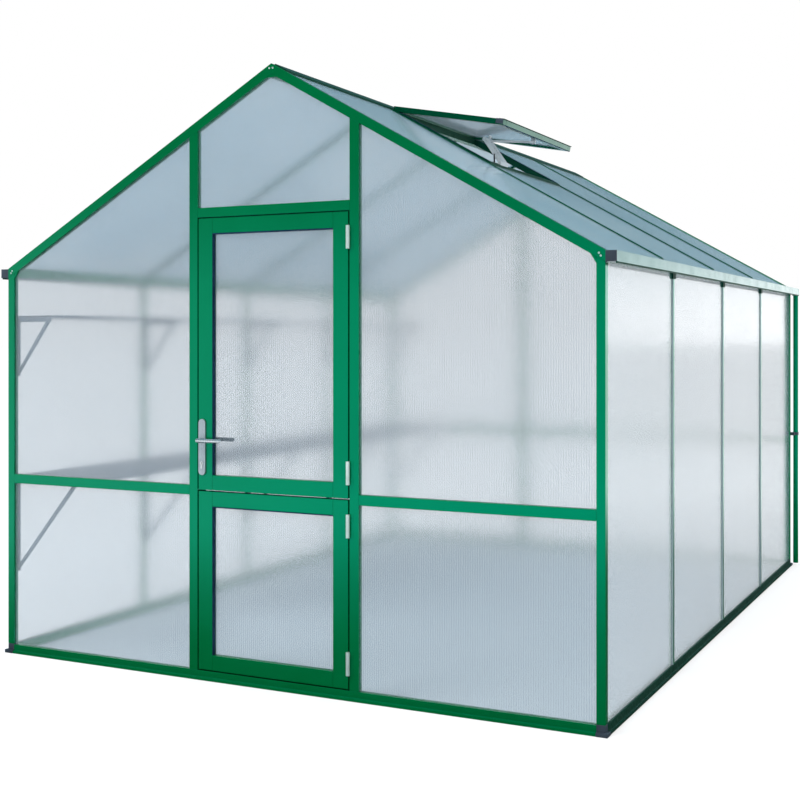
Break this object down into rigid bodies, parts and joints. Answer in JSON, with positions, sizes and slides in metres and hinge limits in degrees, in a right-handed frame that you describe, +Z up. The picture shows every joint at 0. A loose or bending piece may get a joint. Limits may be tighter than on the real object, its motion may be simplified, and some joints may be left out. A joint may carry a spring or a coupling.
{
  "type": "polycarbonate greenhouse",
  "caption": "Walk-in greenhouse with an aluminium frame, twin-wall polycarbonate panes, a two-part hinged door, gutters, downpipes, a propped roof vent and side shelves.",
  "frame": {"origin": "centre of the overall footprint at ground level", "axes": "+Y along the ridge from the door end to the rear, +X to the right seen from the front, +Z up"},
  "size_m": [3.13, 4.323, 2.7586],
  "materials": {
    "green_frame": "glossy green powder coat",
    "dark_plastic": "moulded dark slate plastic",
    "polycarbonate": "clear twin-wall sheet with fine ribs",
    "hinge_metal": "pale satin",
    "handle_metal": "satin grey",
    "opener_metal": "light grey",
    "shelf_metal": "mill finish"
  },
  "bodies": {
    "frame": {"base_rails_gable": "green_frame", "base_rails_side": "green_frame", "base_corner_feet": "dark_plastic", "corner_posts": "green_frame", "mullions": "green_frame", "mid_rails": "green_frame", "door_header": "green_frame", "rafters_left": "green_frame", "rafters_right": "green_frame", "frame_gussets": "green_frame", "side_bars": "green_frame", "eave_beams": "green_frame", "roof_bars": "green_frame", "ridge_beam": "green_frame", "ridge_cap": "green_frame", "gutter_left": "green_frame", "gutter_right": "green_frame", "gutter_end_caps": "dark_plastic", "downpipe_sides": "green_frame", "downpipe_faces": "green_frame", "pipe_clips": "dark_plastic", "pipe_clip_sides": "dark_plastic", "front_panes": "polycarbonate", "rear_panes": "polycarbonate", "side_panes": "polycarbonate", "roof_panes": "polycarbonate", "vent_hinge_rail": "green_frame", "vent_kerbs": "green_frame", "vent_sill": "green_frame", "vent_sash_rails": "green_frame", "vent_sash_stiles": "green_frame", "vent_sash_corners": "dark_plastic", "vent_pane": "polycarbonate", "vent_opener": "opener_metal", "shelf_upper": "shelf_metal", "shelf_lower": "shelf_metal", "shelf_brackets": "shelf_metal", "door_hinge_pins": "hinge_metal"},
    "upper_leaf": {"upper_leaf_stiles": "green_frame", "upper_leaf_rails": "green_frame", "upper_leaf_pane": "polycarbonate", "upper_leaf_barrels": "hinge_metal", "handle_plates": "handle_metal"},
    "lower_leaf": {"lower_leaf_stiles": "green_frame", "lower_leaf_rails": "green_frame", "lower_leaf_pane": "polycarbonate", "lower_leaf_barrels": "hinge_metal"},
    "lever": {"door_lever": "handle_metal"}
  },
  "joints": [
    {"name": "upper_leaf_hinge", "type": "hinge", "parent": "frame", "child": "upper_leaf", "pos_m": [0.38875, -2.122, 1.473], "axis": [0, 0, 1], "range_deg": [0, 165]},
    {"name": "lower_leaf_hinge", "type": "hinge", "parent": "frame", "child": "lower_leaf", "pos_m": [0.38875, -2.122, 0.451], "axis": [0, 0, 1], "range_deg": [0, 165]},
    {"name": "lever_turn", "type": "hinge", "parent": "upper_leaf", "child": "lever", "pos_m": [-0.363, -2.0965, 1.085], "axis": [0, 1, 0], "range_deg": [0, 40], "stiffness_Nm_per_rad": 1.5, "springref_deg": -20.05}
  ]
}
